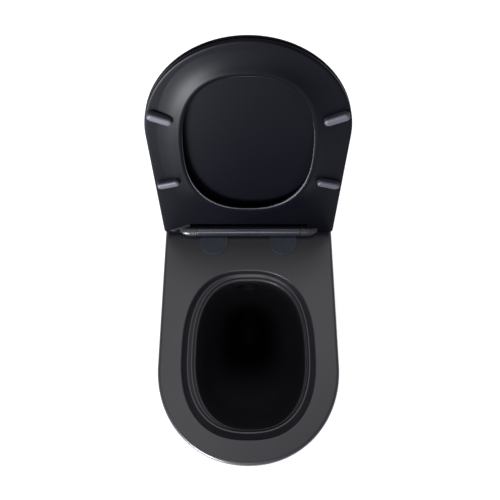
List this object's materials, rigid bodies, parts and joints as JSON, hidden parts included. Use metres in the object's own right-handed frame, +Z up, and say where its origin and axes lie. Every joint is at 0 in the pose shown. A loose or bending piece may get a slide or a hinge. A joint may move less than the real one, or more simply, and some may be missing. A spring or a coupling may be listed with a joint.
{
  "type": "toilet pan with soft close seat",
  "caption": "Floor-standing back-to-wall rimless toilet pan with a slim soft close seat and lid on a quick-release hinge bar, shown with both raised.",
  "frame": {"origin": "on the floor, under the middle of the bounding box", "axes": "+Z up, -Y the front of the bowl, +Y the wall, +X the right-hand side seen from the front"},
  "size_m": [0.364, 0.595, 0.8811],
  "materials": {
    "pan": "matt black glaze",
    "flush_diverter": "dark moulded plastic",
    "inlet_seal": "black rubber",
    "flush_pipe": "grey pipe",
    "outlet_seal": "black rubber",
    "outlet_connector": "grey pipe",
    "floor_bracket_left": "white nylon",
    "side_screw_left": "zinc plated steel",
    "side_cap_left": "satin black plastic",
    "fixing_plate_left": "zinc plated steel",
    "cover_disc_left": "slate coated metal",
    "hinge_post_left": "zinc plated steel",
    "seat_bolt_left": "zinc plated steel",
    "bolt_washer_left": "black rubber",
    "floor_bracket_right": "white nylon",
    "side_screw_right": "zinc plated steel",
    "side_cap_right": "satin black plastic",
    "fixing_plate_right": "zinc plated steel",
    "cover_disc_right": "slate coated metal",
    "hinge_post_right": "zinc plated steel",
    "seat_bolt_right": "zinc plated steel",
    "bolt_washer_right": "black rubber",
    "hinge_bar": "satin black plastic",
    "bar_under_plate": "satin black plastic",
    "lid_damper": "white nylon",
    "seat_damper": "white nylon",
    "button_spring": "zinc plated steel",
    "wing_nut_left": "white nylon",
    "wing_nut_right": "white nylon",
    "release_button": "satin black plastic",
    "latch_left": "zinc plated steel",
    "latch_right": "zinc plated steel",
    "lid": "matt black urea resin",
    "lid_shaft": "zinc plated steel",
    "lid_bush": "white nylon",
    "lid_buffer_front_left": "black rubber",
    "lid_buffer_front_right": "black rubber",
    "lid_buffer_side_left": "black rubber",
    "lid_buffer_side_right": "black rubber",
    "seat": "matt black urea resin",
    "seat_shaft": "zinc plated steel",
    "seat_bush": "white nylon",
    "seat_bumper_front_left": "black rubber",
    "seat_bumper_front_right": "black rubber",
    "seat_bumper_rear_left": "black rubber",
    "seat_bumper_rear_right": "black rubber"
  },
  "bodies": {
    "pan": {"pan": "pan", "flush_diverter": "flush_diverter", "inlet_seal": "inlet_seal", "flush_pipe": "flush_pipe", "outlet_seal": "outlet_seal", "outlet_connector": "outlet_connector", "floor_bracket_left": "floor_bracket_left", "side_screw_left": "side_screw_left", "side_cap_left": "side_cap_left", "fixing_plate_left": "fixing_plate_left", "cover_disc_left": "cover_disc_left", "hinge_post_left": "hinge_post_left", "seat_bolt_left": "seat_bolt_left", "bolt_washer_left": "bolt_washer_left", "floor_bracket_right": "floor_bracket_right", "side_screw_right": "side_screw_right", "side_cap_right": "side_cap_right", "fixing_plate_right": "fixing_plate_right", "cover_disc_right": "cover_disc_right", "hinge_post_right": "hinge_post_right", "seat_bolt_right": "seat_bolt_right", "bolt_washer_right": "bolt_washer_right", "hinge_bar": "hinge_bar", "bar_under_plate": "bar_under_plate", "lid_damper": "lid_damper", "seat_damper": "seat_damper", "button_spring": "button_spring"},
    "lid": {"lid": "lid", "lid_shaft": "lid_shaft", "lid_bush": "lid_bush", "lid_buffer_front_left": "lid_buffer_front_left", "lid_buffer_front_right": "lid_buffer_front_right", "lid_buffer_side_left": "lid_buffer_side_left", "lid_buffer_side_right": "lid_buffer_side_right"},
    "seat": {"seat": "seat", "seat_shaft": "seat_shaft", "seat_bush": "seat_bush", "seat_bumper_front_left": "seat_bumper_front_left", "seat_bumper_front_right": "seat_bumper_front_right", "seat_bumper_rear_left": "seat_bumper_rear_left", "seat_bumper_rear_right": "seat_bumper_rear_right"},
    "wing_nut_left": {"wing_nut_left": "wing_nut_left"},
    "wing_nut_right": {"wing_nut_right": "wing_nut_right"},
    "release_button": {"release_button": "release_button"},
    "latch_left": {"latch_left": "latch_left"},
    "latch_right": {"latch_right": "latch_right"}
  },
  "joints": [
    {"name": "lid_hinge", "type": "hinge", "parent": "pan", "child": "lid", "pos_m": [0, 0.1795, 0.414], "axis": [-1, 0, 0], "range_deg": [-102, 0]},
    {"name": "seat_hinge", "type": "hinge", "parent": "lid", "child": "seat", "pos_m": [0, 0.1795, 0.414], "axis": [1, 0, 0], "range_deg": [0, 102]},
    {"name": "button_press", "type": "slide", "parent": "pan", "child": "release_button", "axis": [0, 0.7431, -0.6691], "range_m": [0, 0.0025], "stiffness_N_per_m": 600, "springref_m": -0.002},
    {"name": "latch_left_slide", "type": "slide", "parent": "pan", "child": "latch_left", "axis": [-1, 0, 0], "range_m": [0, 0.0035]},
    {"name": "latch_right_slide", "type": "slide", "parent": "pan", "child": "latch_right", "axis": [1, 0, 0], "range_m": [0, 0.0035]},
    {"name": "wing_nut_left_turn", "type": "hinge", "parent": "pan", "child": "wing_nut_left", "pos_m": [-0.0775, 0.1575, 0.36], "axis": [0, 0, 1], "continuous": true},
    {"name": "wing_nut_right_turn", "type": "hinge", "parent": "pan", "child": "wing_nut_right", "pos_m": [0.0775, 0.1575, 0.36], "axis": [0, 0, 1], "continuous": true}
  ],
  "couplings": [
    {"joint": "latch_left_slide", "follows": "button_press", "ratio": 1.4},
    {"joint": "latch_right_slide", "follows": "button_press", "ratio": 1.4}
  ]
}
